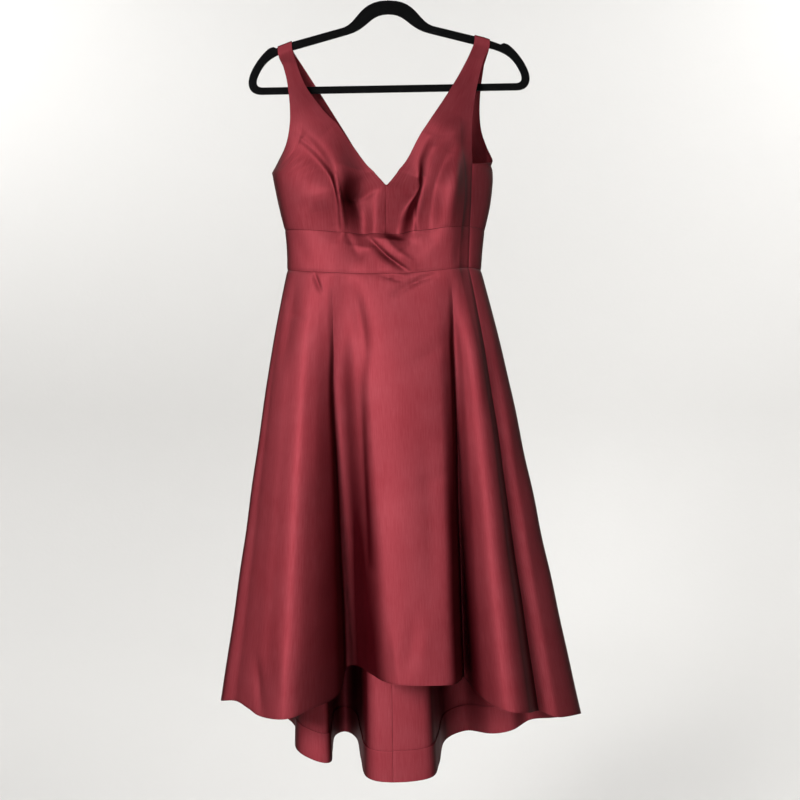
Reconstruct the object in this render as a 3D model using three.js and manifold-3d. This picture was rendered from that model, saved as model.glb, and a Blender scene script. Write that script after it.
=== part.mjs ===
// Cocktail dress in heavy satin, hung on a slim velvet-covered hanger.
// Millimetres, +Z up, front towards -Y, +X to the right as seen from the front.
// The origin is inside the top of the hanger's hook, where it bears on its rod.
import * as THREE from 'three';
import { mergeVertices } from 'three/addons/utils/BufferGeometryUtils.js';
import Module from 'manifold-3d';

const wasm = await Module();
wasm.setup();

// ---------------------------------------------------------------- driving sizes
const CLOTH = 1.5; // wall of satin with its backing
const SEAM_GAP = 0.3; // between two pieces at a seam
const HALF_GAP = SEAM_GAP / 2;
const CLEAR = 0.3; // between cloth and hanger, and round every fitted piece

const HANGER_TILT = THREE.MathUtils.degToRad(1); // right arm a little higher
const HANGER_DEPTH = 5.6;
const HANGER_ROUNDING = 1.6;
const HOOK_WIRE = 3.4;
const HOOK_RADIUS = 19; // to the middle of the wire
const HOOK_SWEEP = THREE.MathUtils.degToRad(235);
const HOOK_START = -0.67; // angle round the rod at which the stem meets the bend, in radians
const STEM_SHARE = 0.32; // of the wire's length
const STEM_STRAIGHT = 0.4; // of the stem's length, before it leans out to the bend
const STEM_FOOT = -72;
const SOCKET_DEPTH = 20;

const CUP_COLUMNS = 8; // across each quarter of the bodice
const ROWS_PER_SECTION = 3;
const BAND_ROWS = 2;
const FOLD_STEPS = 2; // across each row of the skirt's table
const SKIRT_ROWS = 9;
const ROW_CROWDING = 1.15; // above 1 the skirt's rows lie closer together near the waist
const CUP_ROWS = 2 * ROWS_PER_SECTION; // rows that have a seam at the centre and at the side
const WELD = 1e-4;

// ---------------------------------------------------------------- colours
const satin = new THREE.MeshStandardMaterial({ color: 0x8a2f3a, roughness: 0.42, metalness: 0 });
const velvet = new THREE.MeshStandardMaterial({ color: 0x0d0d0f, roughness: 0.95, metalness: 0 });
const steel = new THREE.MeshStandardMaterial({ color: 0xc9ccd0, roughness: 0.22, metalness: 1 });
const enamel = new THREE.MeshStandardMaterial({ color: 0x6d1f2b, roughness: 0.35, metalness: 0 });

// ---------------------------------------------------------------- tables
// Turns a table with named columns into a list of records.
function table(columns, rows) {
  return rows.map((row) => Object.fromEntries(columns.map((name, i) => [name, row[i]])));
}

// Reads every column of a table at a fractional row, on a smooth curve through the rows.
function readTable(rows, at, closed = false) {
  const last = rows.length - 1;
  const index = Math.min(Math.floor(at), closed ? last : last - 1);
  const t = at - index;
  const wrap = (k) => (k + rows.length) % rows.length;
  const hold = (k) => Math.min(Math.max(k, 0), last);
  const pick = (k) => rows[closed ? wrap(k) : hold(k)];
  const [a, b, c, d] = [pick(index - 1), pick(index), pick(index + 1), pick(index + 2)];
  const out = {};
  for (const key of Object.keys(b)) {
    if (typeof b[key] !== 'number') continue;
    const m0 = (c[key] - a[key]) / 2;
    const m1 = (d[key] - b[key]) / 2;
    out[key] = b[key] * (2 * t ** 3 - 3 * t ** 2 + 1) + m0 * (t ** 3 - 2 * t ** 2 + t)
      + c[key] * (3 * t ** 2 - 2 * t ** 3) + m1 * (t ** 3 - t ** 2);
  }
  return out;
}

// ---------------------------------------------------------------- bodice tables
// Each row is one level of a quarter of the bodice. inX..inZ is its edge at the centre or the
// neckline, outX..outZ its edge at the side seam or the armhole. inPull and outPull are how far
// the cloth runs straight on from each edge, and lean turns the pull at the outer edge: 0 is
// straight across to the middle, 90 straight out to the front or the back.
const LEVEL = ['inX', 'inY', 'inZ', 'outX', 'outY', 'outZ', 'inPull', 'outPull', 'lean'];

const FRONT_LEFT = {
  band: table(LEVEL, [
    [-1, -57, -500, -157, 2, -488, 88, 32, 88],
    [-1, -58, -468, -158, 2, -456, 88, 32, 88],
    [-1, -58, -436, -161, 2, -424, 88, 34, 88],
  ]),
  cup: table(LEVEL, [
    [-1, -58, -436, -161, 2, -424, 88, 34, 88],
    [-1, -60, -397, -172, 2, -380, 88, 46, 88],
    [-1, -60, -360, -181, 0, -335, 78, 54, 82],
  ]),
  strap: table(LEVEL, [
    [-1, -60, -360, -181, 0, -335, 78, 54, 82],
    [-26, -60, -328, -170, -17, -322, 60, 44, 62],
    [-52, -56, -296, -156, -29, -298, 40, 34, 48],
    [-76, -49, -268, -150, -33, -270, 25, 24, 30],
    [-100, -39, -243, -150, -30, -240, 16, 16, 20],
    [-127, -22, -203, -155, -19, -200, 9, 9, 12],
    [-142, -11, -165, -163, -9, -163, 7, 7, 6],
  ]),
};

const FRONT_RIGHT = {
  band: table(LEVEL, [
    [-1, -57, -500, 127, -28, -487, 60, 30, 37],
    [-1, -58, -468, 128, -28, -456, 60, 30, 37],
    [-1, -58, -436, 129, -29, -424, 62, 32, 37],
  ]),
  cup: table(LEVEL, [
    [-1, -58, -436, 129, -29, -424, 62, 32, 37],
    [-1, -60, -397, 131, -31, -376, 62, 36, 37],
    [-1, -60, -360, 132, -32, -327, 62, 40, 37],
  ]),
  strap: table(LEVEL, [
    [-1, -60, -360, 132, -32, -327, 62, 40, 37],
    [24, -59, -326, 131, -34, -303, 44, 34, 30],
    [48, -54, -290, 131, -35, -274, 30, 26, 24],
    [70, -45, -258, 133, -31, -249, 20, 20, 18],
    [92, -33, -222, 138, -21, -216, 14, 14, 14],
    [111, -19, -188, 145, -13, -184, 10, 10, 8],
    [127, -10, -156, 152, -8, -158, 8, 8, 4],
  ]),
};

const BACK_RIGHT = {
  band: table(LEVEL, [
    [-2, 46, -494, 127, -28, -487, 104, 78, 143],
    [-2, 46, -462, 128, -28, -456, 104, 82, 143],
    [-2, 46, -430, 129, -29, -424, 104, 90, 143],
  ]),
  cup: table(LEVEL, [
    [-2, 46, -430, 129, -29, -424, 104, 90, 143],
    [-2, 46, -402, 131, -31, -376, 104, 112, 143],
    [-2, 45, -375, 132, -32, -327, 104, 124, 143],
  ]),
  strap: table(LEVEL, [
    [-2, 45, -375, 132, -32, -327, 104, 124, 143],
    [13, 45, -353, 155, -14, -322, 82, 82, 125],
    [30, 43, -328, 167, 6, -314, 56, 32, 84],
    [56, 39, -290, 159, 21, -288, 34, 30, 40],
    [78, 34, -262, 151, 25, -262, 24, 24, 22],
    [95, 28, -234, 148, 24, -233, 18, 18, 14],
    [113, 19, -202, 149, 17, -199, 12, 12, 10],
    [130, 10, -163, 154, 9, -161, 8, 8, 6],
  ]),
};

const BACK_LEFT = {
  band: table(LEVEL, [
    [-2, 46, -494, -157, 2, -488, 96, 36, 88],
    [-2, 46, -462, -158, 2, -456, 96, 36, 88],
    [-2, 46, -430, -161, 2, -424, 96, 36, 88],
  ]),
  cup: table(LEVEL, [
    [-2, 46, -430, -161, 2, -424, 96, 36, 88],
    [-2, 46, -402, -172, 2, -380, 96, 36, 88],
    [-2, 45, -375, -181, 0, -335, 92, 36, 86],
  ]),
  strap: table(LEVEL, [
    [-2, 45, -375, -181, 0, -335, 92, 36, 86],
    [-18, 44, -348, -174, 14, -318, 70, 34, 62],
    [-40, 40, -310, -160, 23, -294, 42, 32, 34],
    [-60, 35, -275, -152, 26, -268, 28, 26, 22],
    [-84, 27, -238, -150, 22, -236, 20, 20, 14],
    [-112, 15, -196, -156, 14, -197, 13, 13, 8],
    [-134, 8, -163, -165, 8, -163, 9, 9, 4],
  ]),
};

// Bust cups: a soft dome pushed forward from the panel.
const CUPS = table(['x', 'z', 'spread', 'height'], [
  [-80, -370, 50, 24],
  [70, -366, 46, 20],
]);

// Where each strap crosses the hanger's arm, from its inner to its outer edge.
const STRAP_TOPS = { left: { inX: -150, outX: -172 }, right: { inX: 138, outX: 162 } };
const STRAP_NARROWING = 0.15; // share of the last narrowing that is left at the arm's foot

// ---------------------------------------------------------------- skirt table
// One row for each ridge, valley and shoulder of the skirt's folds, in order round the body.
// waist is the place on the waist seam (-1 left side, 0 centre front, 1 right side, 2 centre
// back) that the row hangs from, and x, y, z is where it reaches the hem.
const SKIRT_FOLDS = table(['waist', 'x', 'y', 'z', 'name'], [
  [-1.0, -243, 70, -1188, 'left seam'],
  [-0.93, -261, -4, -1166, 'left edge'],
  [-0.85, -232, -36, -1157, 'left flute, outer turn'],
  [-0.75, -209, -59, -1162, 'left flute, outer side'],
  [-0.66, -188, -78, -1168, 'left flute, outer shoulder'],
  [-0.52, -148, -106, -1163, 'left flute'],
  [-0.44, -112, -76, -1157, 'left flute, inner shoulder'],
  [-0.38, -75, -16, -1152, 'left flute, turn'],
  [-0.34, -66, 32, -1124, 'left front valley'],
  [-0.28, -46, 18, -1117, 'left front valley, right side'],
  [-0.21, -24, -50, -1111, 'middle flute, left turn'],
  [-0.12, 2, -96, -1112, 'middle flute, left shoulder'],
  [0.08, 37, -112, -1112, 'middle flute'],
  [0.44, 94, -101, -1114, 'middle flute, right shoulder'],
  [0.57, 112, -64, -1118, 'middle flute, right turn'],
  [0.65, 122, -12, -1128, 'right front valley'],
  [0.74, 149, -68, -1147, 'right flute, inner shoulder'],
  [0.84, 181, -105, -1152, 'right flute'],
  [0.92, 213, -85, -1160, 'right flute, outer shoulder'],
  [1.0, 235, -34, -1173, 'right seam'],
  [1.12, 266, -30, -1184, 'side flute'],
  [1.27, 309, 18, -1193, 'right edge'],
  [1.4, 277, 70, -1215, 'right edge, behind'],
  [1.48, 240, 112, -1232, 'right back flute'],
  [1.55, 207, 92, -1243, 'right back valley, outer side'],
  [1.61, 174, 102, -1252, 'right back valley'],
  [1.68, 134, 148, -1262, 'inner back flute'],
  [1.75, 95, 122, -1271, 'inner back flute, turn'],
  [1.84, 82, 42, -1282, 'middle back valley, right turn'],
  [1.91, 67, -2, -1288, 'middle back valley, right'],
  [2.0, 10, -10, -1292, 'middle back valley'],
  [2.09, -30, 8, -1291, 'middle back valley, left'],
  [2.16, -42, 70, -1283, 'middle back valley, left turn'],
  [2.23, -52, 146, -1276, 'left back flute, inner shoulder'],
  [2.31, -74, 180, -1274, 'left back flute'],
  [2.39, -93, 146, -1271, 'left back flute, outer shoulder'],
  [2.46, -92, 62, -1268, 'left back valley, inner turn'],
  [2.52, -92, 10, -1268, 'left back valley'],
  [2.58, -117, 6, -1262, 'left back valley, outer side'],
  [2.64, -145, 30, -1252, 'left back valley, outer turn'],
  [2.72, -152, 95, -1240, 'outer back flute, inner shoulder'],
  [2.8, -179, 126, -1229, 'outer back flute'],
  [2.89, -216, 110, -1212, 'outer back flute, outer shoulder'],
]);
const RIGHT_SEAM_ROW = 19;
const BACK_SEAM_ROW = 30;
const HIP_FULLNESS = 5; // the skirt stands this far out of a straight line below the waist

// ---------------------------------------------------------------- bodice surface
const frontSide = (panel) => (panel === FRONT_LEFT || panel === FRONT_RIGHT ? -1 : 1);
const handSide = (panel) => (panel === FRONT_LEFT || panel === BACK_LEFT ? -1 : 1);

// A point on one level of a quarter, s = 0 at its inner edge and 1 at its outer edge.
function levelPoint(panel, level, s) {
  const front = frontSide(panel);
  const hand = handSide(panel);
  const lean = THREE.MathUtils.degToRad(level.lean);
  const inner = new THREE.Vector3(level.inX, level.inY, level.inZ);
  const outer = new THREE.Vector3(level.outX, level.outY, level.outZ);
  const drop = (level.outZ - level.inZ) / 3;
  const fromInner = inner.clone().add(new THREE.Vector3(hand * level.inPull, 0, 0));
  const across = -hand * Math.cos(lean) * level.outPull;
  const out = front * Math.sin(lean) * level.outPull;
  const fromOuter = outer.clone().add(new THREE.Vector3(across, out, -drop));
  const point = new THREE.CubicBezierCurve3(inner, fromInner, fromOuter, outer).getPoint(s);
  if (front < 0) {
    const hold = 1 - (2 * s - 1) ** 4;
    for (const cup of CUPS) {
      const far = ((point.x - cup.x) ** 2 + (point.z - cup.z) ** 2) / cup.spread ** 2;
      point.y -= cup.height * Math.exp(-far) * hold;
    }
  }
  return point;
}

// Rows of points for one section table, count rows to each step of the table.
function sectionGrid(panel, rows, count) {
  const grid = [];
  for (let i = 0; i <= (rows.length - 1) * count; i += 1) {
    const level = readTable(rows, i / count);
    const across = Array.from({ length: CUP_COLUMNS + 1 }, (_, j) => j / CUP_COLUMNS);
    grid.push(across.map((s) => levelPoint(panel, level, s)));
  }
  return grid;
}

// ---------------------------------------------------------------- hanger outline
// Upper edge of the right arm and end, mirrored for the left one.
const ARM_FOOT = new THREE.Vector2(70, -104);
const REST_START = new THREE.Vector2(150, -125);
const REST_END = new THREE.Vector2(177, -135);
const HUMP_TOP = -62.5;

// Height of the arm under a strap, with the hanger's tilt.
function armTop(x) {
  const reach = Math.abs(x + REST_START.y * Math.sin(HANGER_TILT));
  const [from, to] = reach < REST_START.x ? [ARM_FOOT, REST_START] : [REST_START, REST_END];
  const height = from.y + (to.y - from.y) * (reach - from.x) / (to.x - from.x);
  return height + x * Math.sin(HANGER_TILT);
}

// The strap's last rows: up the face of the arm and over it to the shoulder seam.
function strapTopRows(panel, lastRow) {
  const front = frontSide(panel);
  const place = handSide(panel) < 0 ? STRAP_TOPS.left : STRAP_TOPS.right;
  const stand = HANGER_DEPTH / 2 + CLEAR + CLOTH / 2;
  const rise = CLEAR + CLOTH / 2;
  const profile = table(['out', 'up'], [
    [stand, -14],
    [stand, -2.6],
    [stand * 0.82, rise - 0.9],
    [stand * 0.42, rise + 0.1],
    [0, rise + 0.3],
  ]);
  return profile.map(({ out, up }, k) => lastRow.map((_, j) => {
    const x = THREE.MathUtils.lerp(place.inX, place.outX, j / CUP_COLUMNS);
    const narrowing = k === 0 ? (lastRow[j].x - x) * STRAP_NARROWING : 0;
    return new THREE.Vector3(x + narrowing, front * out, armTop(x) + up);
  }));
}

// ---------------------------------------------------------------- skirt surface
// A point on the waist seam. The four quarters of the band's lowest level make the ring, and
// the places on it end at 3, which is the left seam again.
function waistPoint(at) {
  const place = at > 3 - WELD ? at - 4 : at;
  if (place < 0) return levelPoint(FRONT_LEFT, FRONT_LEFT.band[0], -place);
  if (place <= 1) return levelPoint(FRONT_RIGHT, FRONT_RIGHT.band[0], place);
  if (place <= 2) return levelPoint(BACK_RIGHT, BACK_RIGHT.band[0], 2 - place);
  return levelPoint(BACK_LEFT, BACK_LEFT.band[0], place - 2);
}

// A point on the skirt: row counts along the table, t runs from waist to hem.
function skirtPoint(row, t) {
  const wrapped = [...SKIRT_FOLDS, { ...SKIRT_FOLDS[0], waist: 3 }];
  const hem = readTable(SKIRT_FOLDS, row % SKIRT_FOLDS.length, true);
  const index = Math.min(Math.floor(row), SKIRT_FOLDS.length - 1);
  const waist = THREE.MathUtils.lerp(wrapped[index].waist, wrapped[index + 1].waist, row - index);
  const top = waistPoint(waist);
  const end = new THREE.Vector3(hem.x, hem.y, hem.z);
  const point = top.clone().lerp(end, t);
  const hip = HIP_FULLNESS * Math.sin(Math.PI * Math.sqrt(t)) ** 2;
  const outward = new THREE.Vector3(top.x, top.y, 0).normalize();
  return point.addScaledVector(outward, hip);
}

function skirtGrid(fromRow, toRow) {
  const columns = (toRow - fromRow) * FOLD_STEPS;
  const across = Array.from({ length: columns + 1 }, (_, j) => fromRow + j / FOLD_STEPS);
  const down = Array.from({ length: SKIRT_ROWS + 1 }, (_, i) => (i / SKIRT_ROWS) ** ROW_CROWDING);
  return down.map((t) => across.map((row) => skirtPoint(row, t)));
}

// ---------------------------------------------------------------- cloth walls
const keyOf = (p) => `${p.x.toFixed(3)},${p.y.toFixed(3)},${p.z.toFixed(3)}`;

// One normal for each point of a group of panels, shared where their seams meet.
function sharedNormals(grids) {
  const sums = new Map();
  const add = (p, n) => {
    const key = keyOf(p);
    if (!sums.has(key)) sums.set(key, new THREE.Vector3());
    sums.get(key).add(n);
  };
  for (const grid of grids) {
    for (let i = 0; i + 1 < grid.length; i += 1) {
      for (let j = 0; j + 1 < grid[0].length; j += 1) {
        const [a, b, c, d] = [grid[i][j], grid[i][j + 1], grid[i + 1][j + 1], grid[i + 1][j]];
        const normal = c.clone().sub(a).cross(d.clone().sub(b));
        for (const p of [a, b, c, d]) add(p, normal);
      }
    }
  }
  for (const normal of sums.values()) normal.normalize();
  return (p) => sums.get(keyOf(p));
}

// Moves the points of the seam edges into the panel by half a seam gap.
function drawBack(grid, seams) {
  const rows = grid.length - 1;
  const columns = grid[0].length - 1;
  const moved = grid.map((row) => row.map((p) => p.clone()));
  const pull = (i, j, di, dj) => {
    const way = grid[i + di][j + dj].clone().sub(grid[i][j]).normalize();
    moved[i][j].addScaledVector(way, HALF_GAP);
  };
  for (let j = 0; j <= columns; j += 1) {
    if (seams.includes('first') || seams.includes('waist')) pull(0, j, 1, 0);
    if (seams.includes('last')) pull(rows, j, -1, 0);
  }
  for (let i = 0; i <= rows; i += 1) {
    if (seams.includes('inner')) pull(i, 0, 0, 1);
    if (seams.includes('outer')) pull(i, columns, 0, -1);
  }
  if (seams.includes('lowInner')) {
    for (let i = 0; i <= CUP_ROWS; i += 1) pull(i, 0, 0, 1);
  }
  if (seams.includes('lowOuter')) {
    for (let i = 0; i <= CUP_ROWS; i += 1) pull(i, columns, 0, -1);
  }
  return moved;
}

// The way out of the cloth at a point, kept level along the waist seam so that the pieces
// above and below it end square to each other.
function wayOut(normalAt, p, atWaist) {
  const normal = normalAt(p).clone();
  if (atWaist) normal.setZ(0).normalize();
  return normal;
}

// A closed wall of cloth on a grid of points.
function clothWall(grid, normalAt, seams) {
  const rows = grid.length;
  const columns = grid[0].length;
  const set = drawBack(grid, seams);
  const points = [];
  for (const side of [1, -1]) {
    for (let i = 0; i < rows; i += 1) {
      for (let j = 0; j < columns; j += 1) {
        const out = wayOut(normalAt, grid[i][j], i === 0 && seams.includes('waist'));
        const p = set[i][j].clone().addScaledVector(out, side * CLOTH / 2);
        points.push(p.x, p.y, p.z);
      }
    }
  }
  const layer = rows * columns;
  const at = (i, j, back) => i * columns + j + (back ? layer : 0);
  const faces = [];
  const quad = (a, b, c, d) => faces.push(a, b, c, a, c, d);
  for (let i = 0; i + 1 < rows; i += 1) {
    for (let j = 0; j + 1 < columns; j += 1) {
      quad(at(i, j), at(i, j + 1), at(i + 1, j + 1), at(i + 1, j));
      quad(at(i, j, true), at(i + 1, j, true), at(i + 1, j + 1, true), at(i, j + 1, true));
    }
  }
  for (let j = 0; j + 1 < columns; j += 1) {
    quad(at(0, j + 1), at(0, j), at(0, j, true), at(0, j + 1, true));
    quad(at(rows - 1, j), at(rows - 1, j + 1), at(rows - 1, j + 1, true), at(rows - 1, j, true));
  }
  const edge = columns - 1;
  for (let i = 0; i + 1 < rows; i += 1) {
    quad(at(i, 0), at(i + 1, 0), at(i + 1, 0, true), at(i, 0, true));
    quad(at(i + 1, edge), at(i, edge), at(i, edge, true), at(i + 1, edge, true));
  }
  const geometry = new THREE.BufferGeometry();
  geometry.setAttribute('position', new THREE.Float32BufferAttribute(points, 3));
  geometry.setIndex(faces);
  return facingOut(geometry);
}

// Turns every face of a closed body round if its volume comes out negative.
function facingOut(geometry) {
  const position = geometry.getAttribute('position');
  const index = geometry.getIndex();
  const [a, b, c] = [new THREE.Vector3(), new THREE.Vector3(), new THREE.Vector3()];
  let volume = 0;
  for (let k = 0; k < index.count; k += 3) {
    a.fromBufferAttribute(position, index.getX(k));
    b.fromBufferAttribute(position, index.getX(k + 1));
    c.fromBufferAttribute(position, index.getX(k + 2));
    volume += a.dot(b.cross(c));
  }
  if (volume < 0) {
    for (let k = 0; k < index.count; k += 3) {
      const first = index.getX(k);
      index.setX(k, index.getX(k + 1));
      index.setX(k + 1, first);
    }
  }
  return geometry;
}

// ---------------------------------------------------------------- solids
function toManifold(geometry) {
  const bare = geometry.clone();
  bare.deleteAttribute('normal');
  bare.deleteAttribute('uv');
  const merged = mergeVertices(bare, WELD);
  return new wasm.Manifold(new wasm.Mesh({
    numProp: 3,
    vertProperties: new Float32Array(merged.getAttribute('position').array),
    triVerts: new Uint32Array(merged.getIndex().array),
  }));
}

function toGeometry(solid) {
  const mesh = solid.getMesh();
  const geometry = new THREE.BufferGeometry();
  geometry.setAttribute('position', new THREE.Float32BufferAttribute(mesh.vertProperties, 3));
  geometry.setIndex(Array.from(mesh.triVerts));
  return geometry;
}

function cylinder(radius, length, sides, turn = [0, 0, 0], place = [0, 0, 0]) {
  const geometry = new THREE.CylinderGeometry(radius, radius, length, sides);
  geometry.rotateX(turn[0]).rotateY(turn[1]).rotateZ(turn[2]);
  return geometry.translate(...place);
}

// ---------------------------------------------------------------- hanger
// Right half of the outline from the middle of the hump to the lower bar, and of the opening in
// it. Each row ends at x, z. Its controls c1 and c2 are left out where the line is straight.
const HALF_OUTLINE = table(['x', 'z', 'c1x', 'c1z', 'c2x', 'c2z'], [
  [ARM_FOOT.x, ARM_FOOT.y, 46, HUMP_TOP, 46, -95],
  [REST_START.x, REST_START.y],
  [REST_END.x, REST_END.y],
  [181, -133],
  [192, -138, 185.7, -133.7, 189.3, -135.3],
  [221.5, -186, 206, -150, 220, -172],
  [201, -207.5, 223, -199, 216, -207.5],
]);
const OPENING_TOP = -84;
const HALF_OPENING = table(['x', 'z', 'c1x', 'c1z', 'c2x', 'c2z'], [
  [64, -115, 30, OPENING_TOP, 30, -106],
  [146, -137],
  [208, -182, 180, -145, 196, -152],
  [199, -196.5, 210.7, -191.7, 207.7, -196.5],
]);

// Draws one half of an outline and back along its mirror image. hand is 1 to set out to the
// right and -1 to the left, since an opening runs the other way round from its outline.
function drawBothHalves(path, top, rows, hand) {
  const step = (side, row, to, controls) => {
    if (row.c1x === undefined) path.lineTo(side * to.x, to.z);
    else path.bezierCurveTo(...controls.map((c, i) => (i % 2 ? c : side * c)), side * to.x, to.z);
  };
  path.moveTo(0, top);
  for (const row of rows) step(hand, row, row, [row.c1x, row.c1z, row.c2x, row.c2z]);
  const lowest = rows[rows.length - 1];
  path.lineTo(-hand * lowest.x, lowest.z);
  for (let k = rows.length - 1; k >= 0; k -= 1) {
    const row = rows[k];
    const to = k > 0 ? rows[k - 1] : { x: 0, z: top };
    step(-hand, row, to, [row.c2x, row.c2z, row.c1x, row.c1z]);
  }
  return path;
}

function hangerOutline() {
  const shape = drawBothHalves(new THREE.Shape(), HUMP_TOP, HALF_OUTLINE, 1);
  shape.holes.push(drawBothHalves(new THREE.Path(), OPENING_TOP, HALF_OPENING, -1));
  return shape;
}

function hangerFrame() {
  const frame = new THREE.ExtrudeGeometry(hangerOutline(), {
    depth: HANGER_DEPTH - 2 * HANGER_ROUNDING,
    bevelEnabled: true,
    bevelThickness: HANGER_ROUNDING,
    bevelSize: HANGER_ROUNDING,
    bevelOffset: -HANGER_ROUNDING,
    bevelSegments: 3,
    curveSegments: 10,
  });
  frame.translate(0, 0, HANGER_ROUNDING - HANGER_DEPTH / 2);
  frame.rotateX(Math.PI / 2).rotateY(-HANGER_TILT);
  const middle = [0, 0, STEM_FOOT + SOCKET_DEPTH / 2 - CLEAR];
  const socket = cylinder(HOOK_WIRE / 2 + CLEAR, SOCKET_DEPTH, 16, [Math.PI / 2, 0, 0], middle);
  return toGeometry(toManifold(frame).subtract(toManifold(socket)));
}

class HookCurve extends THREE.Curve {
  // Straight up from the hanger, then round the rod and on to the open tip.
  getPoint(t, target = new THREE.Vector3()) {
    const centre = HOOK_WIRE / 2 - HOOK_RADIUS;
    if (t < STEM_SHARE) {
      const way = t / STEM_SHARE;
      const bow = THREE.MathUtils.smoothstep(way, STEM_STRAIGHT, 1);
      const bendZ = centre + HOOK_RADIUS * Math.sin(HOOK_START);
      const z = THREE.MathUtils.lerp(STEM_FOOT, bendZ, way);
      return target.set(HOOK_RADIUS * Math.cos(HOOK_START) * bow, 0, z);
    }
    const angle = HOOK_START + HOOK_SWEEP * (t - STEM_SHARE) / (1 - STEM_SHARE);
    return target.set(HOOK_RADIUS * Math.cos(angle), 0, centre + HOOK_RADIUS * Math.sin(angle));
  }
}

function hangerHook() {
  const section = new THREE.Shape().absarc(0, 0, HOOK_WIRE / 2, 0, 2 * Math.PI);
  return new THREE.ExtrudeGeometry(section, {
    steps: 44, curveSegments: 5, bevelEnabled: false, extrudePath: new HookCurve(),
  });
}

// ---------------------------------------------------------------- zip
const BACK_SEAM_Y = 45; // centre-back seam at the top of the zip
const ZIP = {
  x: -2,
  face: BACK_SEAM_Y + CLOTH / 2 + CLEAR + 0.2,
  z: -381,
  width: 7,
  height: 11,
  plate: 1.4,
  sunk: 0.2, // the lugs start this far inside the plate
  lugWidth: 1,
  lugHeight: 3,
  lugGap: 0.5 + CLEAR, // from the tab to the middle of a lug
  pin: 0.6,
  pinCover: 1, // lug past the middle of the pin
  pinEnds: 0.3, // pin past the middle of a lug
  eye: 1.7,
  eyeHole: 1,
  eyeStand: 0.5, // from the plate to the eye
  tabWidth: 3,
  tabLength: 26,
  tabThick: 1.4,
  neckHalf: 1.3,
  neckDrop: 1.3, // below the middle of the eye
  broadHalf: 2.4,
  broadShare: 0.75, // of the tab's length down to its broadest place
  tipHalf: 2.8, // reach of the round tip's controls
};
const PIN_Y = ZIP.face + ZIP.plate + ZIP.eye + ZIP.eyeStand;

function box(width, depth, height, x, y, z) {
  return new THREE.BoxGeometry(width, depth, height).translate(x, y, z);
}

// A round bar along X through the tab's hinge.
function hingeBar(radius, length, sides) {
  return cylinder(radius, length, sides, [0, 0, Math.PI / 2], [ZIP.x, PIN_Y, ZIP.z]);
}

function zipSlider() {
  const plate = box(ZIP.width, ZIP.plate, ZIP.height, ZIP.x, ZIP.face + ZIP.plate / 2, ZIP.z);
  let slider = toManifold(plate);
  const lugOut = ZIP.tabWidth / 2 + ZIP.lugGap;
  const lugFrom = ZIP.face + ZIP.sunk;
  const lugDepth = PIN_Y + ZIP.pinCover - lugFrom;
  for (const hand of [-1, 1]) {
    const x = ZIP.x + hand * lugOut;
    const lug = box(ZIP.lugWidth, lugDepth, ZIP.lugHeight, x, lugFrom + lugDepth / 2, ZIP.z);
    slider = slider.add(toManifold(lug));
  }
  return toGeometry(slider.add(toManifold(hingeBar(ZIP.pin, 2 * (lugOut + ZIP.pinEnds), 12))));
}

function zipPullTab() {
  const broad = -ZIP.tabLength * ZIP.broadShare;
  const outline = new THREE.Shape();
  outline.moveTo(-ZIP.neckHalf, 0);
  outline.lineTo(ZIP.neckHalf, 0);
  outline.lineTo(ZIP.broadHalf, broad);
  outline.bezierCurveTo(
    ZIP.tipHalf, -ZIP.tabLength, -ZIP.tipHalf, -ZIP.tabLength, -ZIP.broadHalf, broad,
  );
  outline.closePath();
  const blade = new THREE.ExtrudeGeometry(outline, {
    depth: ZIP.tabThick, bevelEnabled: false, curveSegments: 10,
  });
  blade.rotateX(Math.PI / 2).translate(ZIP.x, PIN_Y + ZIP.tabThick / 2, ZIP.z - ZIP.neckDrop);
  const eye = toManifold(hingeBar(ZIP.eye, ZIP.tabWidth, 20));
  const hole = toManifold(hingeBar(ZIP.eyeHole, 2 * ZIP.tabWidth, 16));
  return toGeometry(eye.add(toManifold(blade)).subtract(hole));
}

// ---------------------------------------------------------------- garment
const QUARTERS = {
  front_left: FRONT_LEFT,
  front_right: FRONT_RIGHT,
  back_right: BACK_RIGHT,
  back_left: BACK_LEFT,
};

function quarterGrids(panel) {
  const cup = sectionGrid(panel, panel.cup, ROWS_PER_SECTION);
  const strap = sectionGrid(panel, panel.strap, ROWS_PER_SECTION).slice(1);
  const top = strapTopRows(panel, strap[strap.length - 1]);
  return { bodice: [...cup, ...strap, ...top], band: sectionGrid(panel, panel.band, BAND_ROWS) };
}

// Two quarters of the front band as one piece, from the left side seam to the right one.
function joinAcross(left, right) {
  return left.map((row, i) => [...row.slice().reverse(), ...right[i].slice(1)]);
}

const grids = {};
for (const [name, panel] of Object.entries(QUARTERS)) {
  const { bodice, band } = quarterGrids(panel);
  grids[`bodice_${name}`] = bodice;
  grids[`band_${name}`] = band;
}
grids.band_front = joinAcross(grids.band_front_left, grids.band_front_right);

const bodiceNames = ['front_left', 'front_right', 'back_left', 'back_right'];
const flip = (grid) => grid.map((row) => row.slice().reverse());
// Every grid is turned so that its normals point out of the body before they are shared.
const outward = {
  bodice_front_left: flip(grids.bodice_front_left),
  bodice_front_right: grids.bodice_front_right,
  bodice_back_left: grids.bodice_back_left,
  bodice_back_right: flip(grids.bodice_back_right),
  band_front: grids.band_front,
  band_back_left: grids.band_back_left,
  band_back_right: flip(grids.band_back_right),
};
const bodiceNormal = sharedNormals(Object.values(outward));

const seamsOf = {
  bodice_front_left: ['first', 'last', 'lowInner', 'lowOuter'],
  bodice_front_right: ['first', 'last', 'lowInner', 'lowOuter'],
  bodice_back_left: ['first', 'last', 'lowInner', 'lowOuter'],
  bodice_back_right: ['first', 'last', 'lowInner', 'lowOuter'],
  band_front: ['waist', 'last', 'inner', 'outer'],
  band_back_left: ['waist', 'last', 'inner', 'outer'],
  band_back_right: ['waist', 'last', 'inner', 'outer'],
};

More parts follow.
